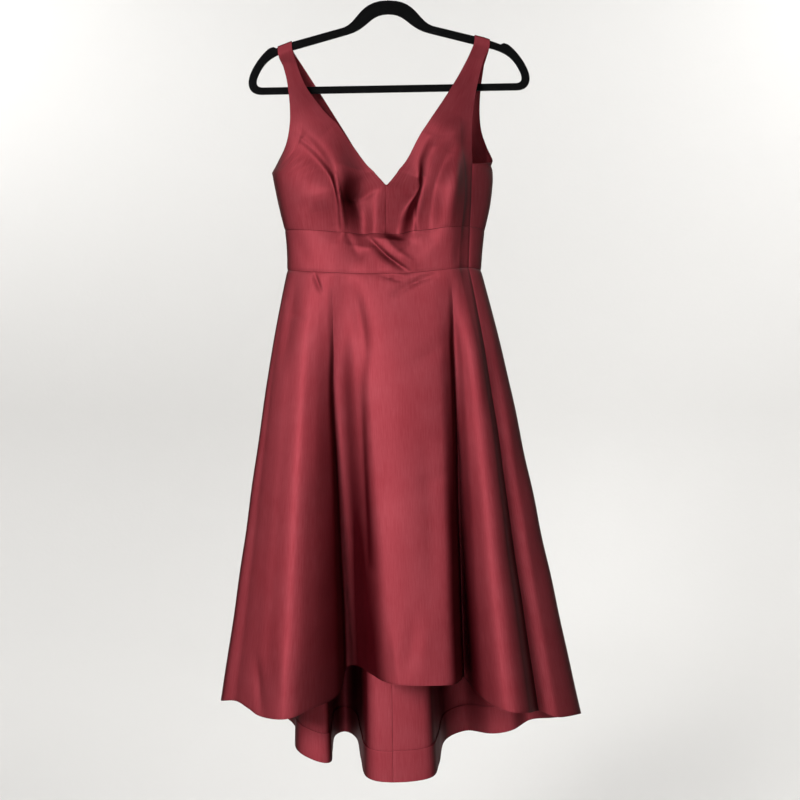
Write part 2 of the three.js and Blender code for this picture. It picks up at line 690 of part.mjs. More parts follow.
const skirtGrids = {
  skirt_front: skirtGrid(0, RIGHT_SEAM_ROW),
  skirt_back_right: skirtGrid(RIGHT_SEAM_ROW, BACK_SEAM_ROW),
  skirt_back_left: skirtGrid(BACK_SEAM_ROW, SKIRT_FOLDS.length),
};
const skirtNormal = sharedNormals(Object.values(skirtGrids));

const dress = new THREE.Group();

function addPiece(name, geometry, material) {
  const mesh = new THREE.Mesh(geometry, material);
  mesh.name = name;
  dress.add(mesh);
}

for (const name of bodiceNames) {
  const piece = `bodice_${name}`;
  addPiece(piece, clothWall(grids[piece], bodiceNormal, seamsOf[piece]), satin);
}
for (const piece of ['band_front', 'band_back_left', 'band_back_right']) {
  addPiece(piece, clothWall(grids[piece], bodiceNormal, seamsOf[piece]), satin);
}
for (const [name, grid] of Object.entries(skirtGrids)) {
  addPiece(name, clothWall(grid, skirtNormal, ['waist', 'inner', 'outer']), satin);
}
addPiece('zip_slider', zipSlider(), enamel);
addPiece('zip_pull_tab', zipPullTab(), enamel);
addPiece('hanger_frame', hangerFrame(), velvet);
addPiece('hanger_hook', hangerHook(), steel);

export default dress;
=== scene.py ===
"""A cocktail dress in heavy satin, hung on a slim velvet-covered hanger, as modelled pieces
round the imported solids. Lengths in the tables are millimetres, and objects are in metres."""

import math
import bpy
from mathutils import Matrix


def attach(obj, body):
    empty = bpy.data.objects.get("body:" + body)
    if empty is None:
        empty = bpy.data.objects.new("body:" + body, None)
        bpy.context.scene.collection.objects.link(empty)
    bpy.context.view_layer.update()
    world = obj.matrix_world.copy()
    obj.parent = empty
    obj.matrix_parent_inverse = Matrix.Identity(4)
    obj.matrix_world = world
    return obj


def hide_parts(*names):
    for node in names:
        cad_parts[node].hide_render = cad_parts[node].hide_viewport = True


bl_info = {
    "name": "Cocktail Dress on a Hanger",
    "version": (1, 0, 0),
    "blender": (4, 5, 0),
    "location": "View3D > Sidebar > Dress",
    "description": "Builds a high-low satin cocktail dress on its hanger",
    "category": "Add Mesh",
}

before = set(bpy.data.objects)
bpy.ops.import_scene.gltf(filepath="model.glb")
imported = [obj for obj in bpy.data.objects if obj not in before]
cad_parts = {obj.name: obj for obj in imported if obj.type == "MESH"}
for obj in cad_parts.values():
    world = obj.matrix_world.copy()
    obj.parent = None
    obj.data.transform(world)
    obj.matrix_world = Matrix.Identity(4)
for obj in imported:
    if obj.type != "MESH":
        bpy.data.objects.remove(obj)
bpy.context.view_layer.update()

import bmesh
import bpy
import numpy as np
from bpy.props import FloatProperty, FloatVectorProperty, IntProperty, PointerProperty
from mathutils import Vector

MM = 0.001
DRESS = "dress"
CLOTH_UV = "cloth"
SATIN, FLOCK, STEEL, ENAMEL, EMULSION = (
    "duchess_satin_wine", "black_velvet_flock", "nickel_plated_steel", "enamelled_zinc_wine",
    "pale_emulsion",
)


# ------------------------------------------------------------------ tables of the cut
# Each row is one level of a quarter of the bodice, in the order: inner edge x, y, z (centre
# or neckline), outer edge x, y, z (side seam or armhole), the straight run of cloth from the
# inner and from the outer edge, and the turn of the outer run in degrees.
FRONT_LEFT = {
    "hand": -1,
    "front": -1,
    "band": [
        (-1, -57, -500, -157, 2, -488, 88, 32, 88),
        (-1, -58, -468, -158, 2, -456, 88, 32, 88),
        (-1, -58, -436, -161, 2, -424, 88, 34, 88),
    ],
    "cup": [
        (-1, -58, -436, -161, 2, -424, 88, 34, 88),
        (-1, -60, -397, -172, 2, -380, 88, 46, 88),
        (-1, -60, -360, -181, 0, -335, 78, 54, 82),
    ],
    "strap": [
        (-1, -60, -360, -181, 0, -335, 78, 54, 82),
        (-26, -60, -328, -170, -17, -322, 60, 44, 62),
        (-52, -56, -296, -156, -29, -298, 40, 34, 48),
        (-76, -49, -268, -150, -33, -270, 25, 24, 30),
        (-100, -39, -243, -150, -30, -240, 16, 16, 20),
        (-127, -22, -203, -155, -19, -200, 9, 9, 12),
        (-142, -11, -165, -163, -9, -163, 7, 7, 6),
    ],
}
FRONT_RIGHT = {
    "hand": 1,
    "front": -1,
    "band": [
        (-1, -57, -500, 127, -28, -487, 60, 30, 37),
        (-1, -58, -468, 128, -28, -456, 60, 30, 37),
        (-1, -58, -436, 129, -29, -424, 62, 32, 37),
    ],
    "cup": [
        (-1, -58, -436, 129, -29, -424, 62, 32, 37),
        (-1, -60, -397, 131, -31, -376, 62, 36, 37),
        (-1, -60, -360, 132, -32, -327, 62, 40, 37),
    ],
    "strap": [
        (-1, -60, -360, 132, -32, -327, 62, 40, 37),
        (24, -59, -326, 131, -34, -303, 44, 34, 30),
        (48, -54, -290, 131, -35, -274, 30, 26, 24),
        (70, -45, -258, 133, -31, -249, 20, 20, 18),
        (92, -33, -222, 138, -21, -216, 14, 14, 14),
        (111, -19, -188, 145, -13, -184, 10, 10, 8),
        (127, -10, -156, 152, -8, -158, 8, 8, 4),
    ],
}
BACK_RIGHT = {
    "hand": 1,
    "front": 1,
    "band": [
        (-2, 46, -494, 127, -28, -487, 104, 78, 143),
        (-2, 46, -462, 128, -28, -456, 104, 82, 143),
        (-2, 46, -430, 129, -29, -424, 104, 90, 143),
    ],
    "cup": [
        (-2, 46, -430, 129, -29, -424, 104, 90, 143),
        (-2, 46, -402, 131, -31, -376, 104, 112, 143),
        (-2, 45, -375, 132, -32, -327, 104, 124, 143),
    ],
    "strap": [
        (-2, 45, -375, 132, -32, -327, 104, 124, 143),
        (13, 45, -353, 155, -14, -322, 82, 82, 125),
        (30, 43, -328, 167, 6, -314, 56, 32, 84),
        (56, 39, -290, 159, 21, -288, 34, 30, 40),
        (78, 34, -262, 151, 25, -262, 24, 24, 22),
        (95, 28, -234, 148, 24, -233, 18, 18, 14),
        (113, 19, -202, 149, 17, -199, 12, 12, 10),
        (130, 10, -163, 154, 9, -161, 8, 8, 6),
    ],
}
BACK_LEFT = {
    "hand": -1,
    "front": 1,
    "band": [
        (-2, 46, -494, -157, 2, -488, 96, 36, 88),
        (-2, 46, -462, -158, 2, -456, 96, 36, 88),
        (-2, 46, -430, -161, 2, -424, 96, 36, 88),
    ],
    "cup": [
        (-2, 46, -430, -161, 2, -424, 96, 36, 88),
        (-2, 46, -402, -172, 2, -380, 96, 36, 88),
        (-2, 45, -375, -181, 0, -335, 92, 36, 86),
    ],
    "strap": [
        (-2, 45, -375, -181, 0, -335, 92, 36, 86),
        (-18, 44, -348, -174, 14, -318, 70, 34, 62),
        (-40, 40, -310, -160, 23, -294, 42, 32, 34),
        (-60, 35, -275, -152, 26, -268, 28, 26, 22),
        (-84, 27, -238, -150, 22, -236, 20, 20, 14),
        (-112, 15, -196, -156, 14, -197, 13, 13, 8),
        (-134, 8, -163, -165, 8, -163, 9, 9, 4),
    ],
}

# Bust cups: middle x and z, spread and height of the dome.
CUPS = [(-80, -370, 50, 24), (70, -366, 46, 20)]

# Skirt: one row for each ridge, valley and shoulder of its folds, in order round the body:
# place on the waist seam (-1 left side, 0 centre front, 1 right side, 2 centre back), then
# x, y, z where it reaches the hem.
SKIRT_FOLDS = [
    (-1.0, -243, 70, -1188),  # left seam
    (-0.93, -261, -4, -1166),
    (-0.85, -232, -36, -1157),
    (-0.75, -209, -59, -1162),
    (-0.66, -188, -78, -1168),
    (-0.52, -148, -106, -1163),  # left flute
    (-0.44, -112, -76, -1157),
    (-0.38, -75, -16, -1152),
    (-0.34, -66, 32, -1124),  # left front valley
    (-0.28, -46, 18, -1117),
    (-0.21, -24, -50, -1111),
    (-0.12, 2, -96, -1112),
    (0.08, 37, -112, -1112),  # middle flute
    (0.44, 94, -101, -1114),
    (0.57, 112, -64, -1118),
    (0.65, 122, -12, -1128),  # right front valley
    (0.74, 149, -68, -1147),
    (0.84, 181, -105, -1152),  # right flute
    (0.92, 213, -85, -1160),
    (1.0, 235, -34, -1173),  # right seam
    (1.12, 266, -30, -1184),  # side flute
    (1.27, 309, 18, -1193),
    (1.4, 277, 70, -1215),
    (1.48, 240, 112, -1232),  # right back flute
    (1.55, 207, 92, -1243),
    (1.61, 174, 102, -1252),
    (1.68, 134, 148, -1262),  # inner back flute
    (1.75, 95, 122, -1271),
    (1.84, 82, 42, -1282),
    (1.91, 67, -2, -1288),
    (2.0, 10, -10, -1292),  # middle back valley and centre-back seam
    (2.09, -30, 8, -1291),
    (2.16, -42, 70, -1283),
    (2.23, -52, 146, -1276),
    (2.31, -74, 180, -1274),  # left back flute
    (2.39, -93, 146, -1271),
    (2.46, -92, 62, -1268),
    (2.52, -92, 10, -1268),  # left back valley
    (2.58, -117, 6, -1262),
    (2.64, -145, 30, -1252),
    (2.72, -152, 95, -1240),
    (2.8, -179, 126, -1229),  # outer back flute
    (2.89, -216, 110, -1212),
]
RIGHT_SEAM_ROW = 19
BACK_SEAM_ROW = 30
# How far the cloth stands out below the waist, past a straight fall to the hem.
HIP_FULLNESS = 5

# Creases pressed into the cloth as seen from the front: start x, z, end x, z, sideways bow,
# half width, height out of the cloth (negative for a trough), and the share of that half width
# on the left of its run.
FRONT_CREASES = [
    (-142, -284, -78, -356, 5, 6.0, 4.0, 0.8),  # roll over the left cup
    (-78, -350, -69, -442, 5, 6.0, 7.0, 0.6),
    (-134, -294, -84, -424, 18, 32.0, -19.0, 0.4),  # flattened side of that roll
    (-72, -262, -20, -340, 6, 34.0, -14.0, 0.35),  # hollow between it and the neckline
    (-30, -338, -42, -458, 0, 32.0, -38.0, 0.7),  # deep valley beside it
    (-120, -400, -66, -448, 4, 22.0, -8.0, 0.6),  # under the left cup
    (-10, -362, -54, -396, 4, 9.0, -4.0, 0.5),  # from the foot of the V
    (-14, -368, -22, -440, 2, 12.0, 6.0, 0.8),  # roll down the middle
    (62, -286, 34, -376, -4, 26.0, -13.0, 0.5),  # valley beside it, from the neckline
    (40, -346, 14, -448, -4, 42.0, -40.0, 0.38),
    (120, -262, 66, -316, 5, 16.0, 4.0, 0.9),  # roll over the right cup
    (52, -326, 40, -436, 4, 9.0, 5.0, 0.8),
    (92, -316, 64, -440, -4, 28.0, -20.0, 0.4),
    (108, -322, 88, -440, -6, 9.0, 4.0, 1.0),  # roll towards the side
    (92, -290, 94, -560, 0, 40.0, 12.0, 0.65),  # side turned back
    # on the band
    (-66, -436, -44, -472, 0, 6.0, -3.0, 0.8),
    (-26, -444, 34, -496, -3, 7.0, -10.0, 0.4),  # wedge across the middle
    (-6, -440, 42, -486, -3, 7.0, 4.4, 0.8),
    (-4, -434, 40, -452, 3, 11.0, -7.0, 0.8),
    (14, -448, 22, -462, 0, 7.0, 2.2, 1.0),
    (-140, -440, -120, -484, 0, 12.0, -1.0, 1.0),
    (108, -440, 104, -486, 0, 10.0, -2.4, 1.0),
    # on the skirt
    (-112, -498, -100, -526, 0, 4.0, -4.0, 0.7),
    (12, -532, 72, -502, 3, 5.0, -5.4, 0.6),
    (-8, -502, 36, -514, 0, 4.0, -4.0, 0.7),
    (-58, -514, -34, -640, 4, 20.0, -9.0, 0.8),  # dent below the waist
    (-84, -506, -88, -640, 0, 16.0, 5.0, 1.0),
    (-142, -500, -160, -640, 0, 12.0, -3.0, 1.0),
    (-150, -560, -120, -566, 0, 5.0, -1.4, 0.7),
    (-40, -640, -30, -940, -4, 12.0, -5.0, 0.8),
    (98, -500, 140, -700, 6, 12.0, 4.0, 1.0),  # roll along the right flute
    (60, -760, 66, -1000, 4, 14.0, -3.0, 1.0),
    (-4, -860, 2, -1080, 0, 18.0, 2.6, 1.0),
    (40, -1010, 30, -1090, 3, 8.0, -2.2, 1.0),
    (62, -1030, 54, -1104, -3, 6.0, 2.2, 1.0),
    (14, -1040, 18, -1100, 0, 6.0, 2.0, 1.0),
    (86, -600, 40, -640, 4, 10.0, -1.6, 1.0),
    (96, -800, 52, -830, -4, 12.0, -1.8, 1.0),
    (-150, -1060, -146, -1150, 0, 12.0, 2.4, 1.0),
    (-196, -1090, -190, -1160, 0, 8.0, -2.6, 1.0),
]
BACK_CREASES = [
    (-150, -300, -60, -372, 8, 12.0, -3.0, 0.8),
    (-60, -380, -20, -428, 5, 9.0, -2.6, 0.8),
    (140, -300, 60, -380, -8, 13.0, -3.4, 0.8),
    (110, -350, 40, -426, -6, 10.0, 2.6, 1.0),
    (30, -372, 12, -428, 3, 7.0, -2.2, 0.8),
    (-110, -330, -100, -420, 4, 14.0, 2.4, 1.0),
    (60, -440, 20, -486, 4, 7.0, -2.0, 0.8),
    (-90, -442, -40, -480, -4, 8.0, -1.8, 0.8),
    (40, -500, 20, -560, 0, 7.0, -2.6, 0.8),
    (-70, -500, -50, -580, 3, 9.0, -2.4, 0.8),
    (110, -500, 118, -590, 0, 11.0, 2.2, 1.0),
    (-120, -506, -130, -600, 0, 10.0, 2.0, 1.0),
]

# Dart seams, from the underbust seam up to the fullest part of each cup.
DARTS = [(-68, -438, -80, -346, 6), (47, -436, 41, -350, -2)]


# ------------------------------------------------------------------ settings
def linear(hex_colour):
    """An sRGB hex colour as linear red, green, blue and alpha."""
    parts = [int(hex_colour[i : i + 2], 16) / 255 for i in (1, 3, 5)]
    return [p / 12.92 if p <= 0.04045 else ((p + 0.055) / 1.055) ** 2.4 for p in parts] + [1]


class DressSizes(bpy.types.PropertyGroup):
    """Sizes that a maker would change."""

    cloth: FloatProperty(
        name="Cloth", description="Thickness of the satin with its backing",
        default=1.5 * MM, min=0.8 * MM, max=3 * MM, unit="LENGTH",
    )
    hem_depth: FloatProperty(
        name="Hem", description="Depth of the turned-up hem",
        default=46 * MM, min=10 * MM, max=80 * MM, unit="LENGTH",
    )
    crease_strength: FloatProperty(
        name="Creases", description="How strongly the creases show",
        default=1.0, min=0, max=2, subtype="FACTOR",
    )
    fold_steps: IntProperty(
        name="Fold steps", description="Columns of faces across each row of the skirt's folds",
        default=8, min=2, max=12,
    )


class DressColours(bpy.types.PropertyGroup):
    """Colours of the cloth, of the hanger and of the studio."""

    satin: FloatVectorProperty(
        name="Satin", description="Face of the cloth",
        default=linear("#964048"), size=4, subtype="COLOR", min=0, max=1,
    )
    satin_deep: FloatVectorProperty(
        name="Satin, deep", description="Darker threads of the cloth",
        default=linear("#893139"), size=4, subtype="COLOR", min=0, max=1,
    )
    flock: FloatVectorProperty(
        name="Flock", description="Velvet cover of the hanger",
        default=linear("#050506"), size=4, subtype="COLOR", min=0, max=1,
    )
    wall: FloatVectorProperty(
        name="Wall", description="Studio floor and wall",
        default=linear("#DEDDDB"), size=4, subtype="COLOR", min=0, max=1,
    )


# ------------------------------------------------------------------ form of the cloth
def smooth_rows(rows, steps, closed=False):
    """A table read on a smooth curve through its rows, steps to each gap between two rows."""
    rows = np.asarray(rows, float)
    count = len(rows)
    gaps = count if closed else count - 1
    at = np.arange(gaps * steps + (0 if closed else 1)) / steps
    index = np.minimum(np.floor(at).astype(int), gaps - 1)
    t = (at - index).reshape((-1,) + (1,) * (rows.ndim - 1))

    def pick(k):
        return rows[k % count] if closed else rows[np.clip(k, 0, count - 1)]

    a, b, c, d = (pick(index + k) for k in (-1, 0, 1, 2))
    return (
        b * (2 * t**3 - 3 * t**2 + 1)
        + (c - a) / 2 * (t**3 - 2 * t**2 + t)
        + c * (3 * t**2 - 2 * t**3)
        + (d - b) / 2 * (t**3 - t**2)
    )


def level_points(panel, level, s):
    """Points on one level of a quarter, s = 0 at its inner edge and 1 at its outer edge."""
    inner, outer = level[:3], level[3:6]
    in_pull, out_pull, lean = level[6], level[7], math.radians(level[8])
    hand, front = panel["hand"], panel["front"]
    from_inner = inner + np.array((hand * in_pull, 0, 0))
    turned = (-hand * math.cos(lean) * out_pull, front * math.sin(lean) * out_pull)
    from_outer = outer + np.array((*turned, -(outer[2] - inner[2]) / 3))
    s = np.asarray(s, float)[:, None]
    points = (
        (1 - s) ** 3 * inner
        + 3 * (1 - s) ** 2 * s * from_inner
        + 3 * (1 - s) * s**2 * from_outer
        + s**3 * outer
    )
    if front < 0:
        hold = 1 - (2 * s[:, 0] - 1) ** 4
        for x, z, spread, height in CUPS:
            far = ((points[:, 0] - x) ** 2 + (points[:, 2] - z) ** 2) / spread**2
            points[:, 1] -= height * np.exp(-far) * hold
    return points


def section(panel, name, steps, s):
    """Rows of points for one section of a quarter's table."""
    return np.array([level_points(panel, row, s) for row in smooth_rows(panel[name], steps)])


# ------------------------------------------------------------------ hanger's arms
TILT = math.radians(1)
ARM_FOOT, REST_START, REST_END = (70, -104), (150, -125), (177, -135)
STRAP_TOPS = {-1: (-150, -172), 1: (138, 162)}
HANGER_DEPTH = 5.6
CLEAR = 0.3


def arm_top(x):
    """Height of the arm under a strap at x."""
    reach = np.abs(x + REST_START[1] * math.sin(TILT))
    heights = np.interp(
        reach,
        [ARM_FOOT[0], REST_START[0], REST_END[0]],
        [ARM_FOOT[1], REST_START[1], REST_END[1]],
    )
    return heights + x * math.sin(TILT)


# Rows to each side, and share of the width at each edge, over which two sections are eased.
EASE_ROWS, EASE_EDGE, EASE_PASSES = 6, 0.12, 24


def ease_row(points, row, s):
    """Takes the slight break out of the cloth where two sections meet, away from its edges."""
    near = np.exp(-(((np.arange(len(points)) - row) / EASE_ROWS) ** 2))
    inside = np.clip(s / EASE_EDGE, 0, 1) * np.clip((1 - s) / EASE_EDGE, 0, 1)
    share = (near[:, None] * inside)[1:-1, :, None]
    for _ in range(EASE_PASSES):
        points[1:-1] += ((points[:-2] + points[2:]) / 2 - points[1:-1]) * share
    return points


# Share of the strap's last change of width that is left for its first row on the arm.
STRAP_NARROWING = 0.15
STRAP_STEPS = 6


def strap_top(panel, last_row, cloth):
    """The strap's last rows, up the face of the arm and over it to the shoulder seam."""
    stand = HANGER_DEPTH / 2 + CLEAR + cloth / 2
    rise = CLEAR + cloth / 2
    inner, outer = STRAP_TOPS[panel["hand"]]
    x = np.linspace(inner, outer, len(last_row))
    rows = [last_row]
    # Each row's distance out from the middle of the arm, and its height over the arm's top.
    for k, (out, up) in enumerate([
        (stand, -14), (stand, -2.6), (stand * 0.82, rise - 0.9), (stand * 0.42, rise + 0.1),
        (0.15, rise + 0.3),
    ]):
        narrowing = (last_row[:, 0] - x) * (STRAP_NARROWING if k == 0 else 0)
        out_y = np.full_like(x, panel["front"] * out)
        rows.append(np.stack([x + narrowing, out_y, arm_top(x) + up], axis=1))
    return smooth_rows(rows, STRAP_STEPS)[1:]


# ------------------------------------------------------------------ skirt
# The place that closes the round, which is the left side seam at -1 again.
LEFT_SEAM_AGAIN = 3.0


def waist_points(at):
    """Points on the waist seam, at places given as in the skirt's table."""
    points = []
    for place in np.where(np.asarray(at) >= LEFT_SEAM_AGAIN, np.asarray(at) - 4, at):
        if place < 0:
            panel, s = FRONT_LEFT, -place
        elif place <= 1:
            panel, s = FRONT_RIGHT, place
        elif place <= 2:
            panel, s = BACK_RIGHT, 2 - place
        else:
            panel, s = BACK_LEFT, place - 2
        points.append(level_points(panel, np.array(panel["band"][0], float), [s])[0])
    return np.array(points)


def skirt_points(first, last, steps, t):
    """Rows of points on the skirt between two rows of its table, t from waist to hem."""
    hem = smooth_rows([row[1:] for row in SKIRT_FOLDS], steps, closed=True)
    hem = np.concatenate([hem, hem[:1]])[first * steps : last * steps + 1]
    places = [row[0] for row in SKIRT_FOLDS] + [LEFT_SEAM_AGAIN]
    columns = np.arange(first * steps, last * steps + 1) / steps
    top = waist_points(np.interp(columns, range(len(places)), places))
    t = np.asarray(t)[:, None, None]
    outward = top * (1, 1, 0)
    outward /= np.linalg.norm(outward, axis=1, keepdims=True)
    hip = HIP_FULLNESS * np.sin(np.pi * np.sqrt(t)) ** 2
    return top + (hem - top) * t + outward * hip


# ------------------------------------------------------------------ creases
# Within this distance of a seam the cloth moves the same way on both sides of it.
SEAM_HOLD = 14
# Height of the foot of the V, and the distance over which the centre seam takes hold below it.
V_FOOT, V_EASE = -318, 42


def normals_of(points, centre_seam=False, level_rows=()):
    """Unit normals of rows of points, out of the dress. Sewn edges move with their neighbours:
    level_rows lists the heights of the level seams the piece is sewn to."""
    normal = np.cross(np.gradient(points, axis=1), np.gradient(points, axis=0))
    outward = np.sign((normal[..., :2] * points[..., :2]).sum())
    normal *= outward / np.maximum(np.linalg.norm(normal, axis=2, keepdims=True), 1e-9)
    if centre_seam:
        near = np.clip(np.abs(points[..., 0] + 1) / SEAM_HOLD, 0, 1)
        sewn = np.clip((V_FOOT - points[..., 2]) / V_EASE, 0, 1)
        normal[..., 0] *= 1 - (1 - near) * sewn
    for row in level_rows:
        gap = np.abs(points[..., 2] - points[row, :, 2])
        normal[..., 2] *= np.clip(gap / SEAM_HOLD, 0, 1)
    return normal / np.maximum(np.linalg.norm(normal, axis=2, keepdims=True), 1e-9)


CREASE_STEPS = 13
# Shape of a crease's section, and how soon one side's width gives way to the other's.
CREASE_POWER, SIDE_BLEND = 1.8, 0.35
# Share of its height that a crease keeps at its two ends, and how full it is between them.
END_SHARE, END_POWER = 0.25, 0.8
# Distance over which creases ease off at a held seam.
HOLD_REACH, HOLD_POWER = 22, 1.2


def crease(points, table, strength, hold_columns=()):
    """Height of all the table's creases over the points, easing off at the columns held."""
    total = np.zeros(points.shape[:2])
    x, z = points[..., 0], points[..., 2]
    for x0, z0, x1, z1, bow, width, height, left_share in table:
        length = math.hypot(x1 - x0, z1 - z0)
        side_x, side_z = (z0 - z1) / length, (x1 - x0) / length
        t = np.linspace(0, 1, CREASE_STEPS)
        bend = 4 * t * (1 - t) * bow
        line_x = x0 + (x1 - x0) * t + side_x * bend
        line_z = z0 + (z1 - z0) * t + side_z * bend
        nearest = np.full(x.shape, np.inf)
        beside = np.zeros(x.shape)
        place = np.zeros(x.shape)
        for k in range(len(t) - 1):
            run_x, run_z = line_x[k + 1] - line_x[k], line_z[k + 1] - line_z[k]
            part = ((x - line_x[k]) * run_x + (z - line_z[k]) * run_z) / (run_x**2 + run_z**2)
            part = np.clip(part, 0, 1)
            gap_x = x - line_x[k] - run_x * part
            gap_z = z - line_z[k] - run_z * part
            far = np.hypot(gap_x, gap_z)
            closer = far < nearest
            nearest = np.where(closer, far, nearest)
            beside = np.where(closer, gap_x * side_x + gap_z * side_z, beside)
            place = np.where(closer, t[k] + (t[k + 1] - t[k]) * part, place)
        lean = np.tanh(beside / (SIDE_BLEND * width))
        spread = width * (1 + left_share + (left_share - 1) * lean) / 2
        ends = (END_SHARE + (1 - END_SHARE) * np.sin(np.pi * place)) ** END_POWER
        total += height * np.exp(-((nearest / spread) ** CREASE_POWER)) * ends
    for column in hold_columns:
        gap = np.linalg.norm(points - points[:, column : column + 1 or None], axis=2)
        total *= np.clip(gap / HOLD_REACH, 0, 1) ** HOLD_POWER
    return total * strength


DART_DEPTH, DART_WIDTH = 1.6, 2.2


def dart_grooves(points):
    """Depth of the dart seams sewn into the cups."""
    total = np.zeros(points.shape[:2])
    for x0, z0, x1, z1, bow in DARTS:
        t = np.clip((points[:, :, 2] - z0) / (z1 - z0), 0, 1)
        x = x0 + (x1 - x0) * t + bow * 4 * t * (1 - t)
        reach = (points[:, :, 2] > z0 - 1) & (points[:, :, 2] < z1)
        across = np.exp(-(((points[:, :, 0] - x) / DART_WIDTH) ** 2))
        total -= DART_DEPTH * across * np.sqrt(np.cos(0.5 * np.pi * t)) * reach
    return total


WAVES = 14
# Usual height of the sum of that many waves.
WAVES_SUM = 3.7


def ripples(points, pitch, height, seed):
    """Small uneven ripples of worn satin, as a sum of slanting waves."""
    rng = np.random.default_rng(seed)
    total = np.zeros(points.shape[:2])
    for _ in range(WAVES):
        turn = rng.uniform(0, 2 * math.pi)
        wave = rng.uniform(0.6, 1.8) * 2 * math.pi / pitch
        way = np.array((math.cos(turn), 0.4 * math.cos(turn), math.sin(turn) * 0.6)) * wave
        total += np.sin(points @ way + rng.uniform(0, 2 * math.pi))
    return height * total / WAVES_SUM


# Depth of the cloth's turn inwards at each kind of seam, and its reach from the seam.
BUST_ROLL, SIDE_ROLL, WAIST_ROLL, CENTRE_BACK_ROLL = 0.35, 0.75, 0.7, 0.3
ROLL_REACH = 3.0


def edge_roll(points, edges):
    """The cloth's turn inwards along its sewn edges: each edge's name and its depth."""
    across = np.linalg.norm(np.diff(points, axis=1), axis=2).cumsum(axis=1)
    across = np.concatenate([np.zeros_like(across[:, :1]), across], axis=1)
    along = np.linalg.norm(np.diff(points, axis=0), axis=2).cumsum(axis=0)
    along = np.concatenate([np.zeros_like(along[:1]), along], axis=0)
    gaps = {
        "first_row": along,
        "last_row": along[-1:] - along,
        "first_column": across,
        "last_column": across[:, -1:] - across,
    }
    return -sum(
        depth * np.exp(-((gaps[edge] / ROLL_REACH) ** 2)) for edge, depth in edges.items()
    )


ARMHOLE_EASE = 6


def sewn_below(points, panel):
    """1 where the piece's side is sewn, up to the armhole, and 0 above."""
    armhole = panel["cup"][-1][5]
    return np.clip((armhole - points[..., 2]) / ARMHOLE_EASE, 0, 1)


# ------------------------------------------------------------------ meshes
# Rounding of a cut edge as a share of the cloth's thickness, and the turn that counts as one.
EDGE_ROUND, EDGE_ANGLE = 0.3, math.radians(60)


def cloth_object(name, points, material, thickness):
    """A thin shell of cloth on rows of points in millimetres, with a UV map in metres."""
    rows, columns = points.shape[:2]
    bm = bmesh.new()
    bmesh.ops.create_grid(bm, x_segments=columns - 1, y_segments=rows - 1, size=0.5)
    layer = bm.loops.layers.uv.new(CLOTH_UV)
    metres = points * MM
    steps_u = np.linalg.norm(np.diff(metres, axis=1), axis=2).mean(axis=0)
    steps_v = np.linalg.norm(np.diff(metres, axis=0), axis=2).mean(axis=1)
    u = np.concatenate([[0], np.cumsum(steps_u)])
    v = np.concatenate([[0], np.cumsum(steps_v)])
    place = {}
    for vert in bm.verts:
        j = round((vert.co.x + 0.5) * (columns - 1))
        i = round((vert.co.y + 0.5) * (rows - 1))
        place[vert.index] = (i, j)
    for face in bm.faces:
        face.smooth = True
        for loop in face.loops:
            i, j = place[loop.vert.index]
            loop[layer].uv = (u[j], v[i])
    for vert in bm.verts:
        vert.co = metres[place[vert.index]]
    mesh = bpy.data.meshes.new(name)
    bm.to_mesh(mesh)
    bm.free()
    piece = bpy.data.objects.new(name, mesh)
    bpy.context.scene.collection.objects.link(piece)
    mesh.materials.append(material)
    wall = piece.modifiers.new("wall", "SOLIDIFY")
    wall.thickness = thickness
    wall.offset = 0
    wall.use_even_offset = False
    edge = piece.modifiers.new("edge", "BEVEL")
    edge.width = thickness * EDGE_ROUND
    edge.segments = 2
    edge.limit_method = "ANGLE"
    edge.angle_limit = EDGE_ANGLE
    return piece


def declare(piece, node):
    """Rides the piece on the dress and hides its solid."""
    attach(piece, DRESS)
    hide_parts(node)


# ------------------------------------------------------------------ materials
def add_node(tree, kind, settings=None, links=None, **fields):
    """Adds a node with its fields, its socket settings and its incoming links."""
    node = tree.nodes.new(kind)
    for name, value in fields.items():
        setattr(node, name, value)
    for name, value in (settings or {}).items():
        node.inputs[name].default_value = value
    for name, socket in (links or {}).items():
        tree.links.new(socket, node.inputs[name])
    return node


def new_material(name, settings):
    """A material with one principled shader, and that shader."""
    material = bpy.data.materials.new(name)
    material.use_nodes = True
    shader = material.node_tree.nodes["Principled BSDF"]
    for socket, value in settings.items():
        shader.inputs[socket].default_value = value
    return material, material.node_tree, shader


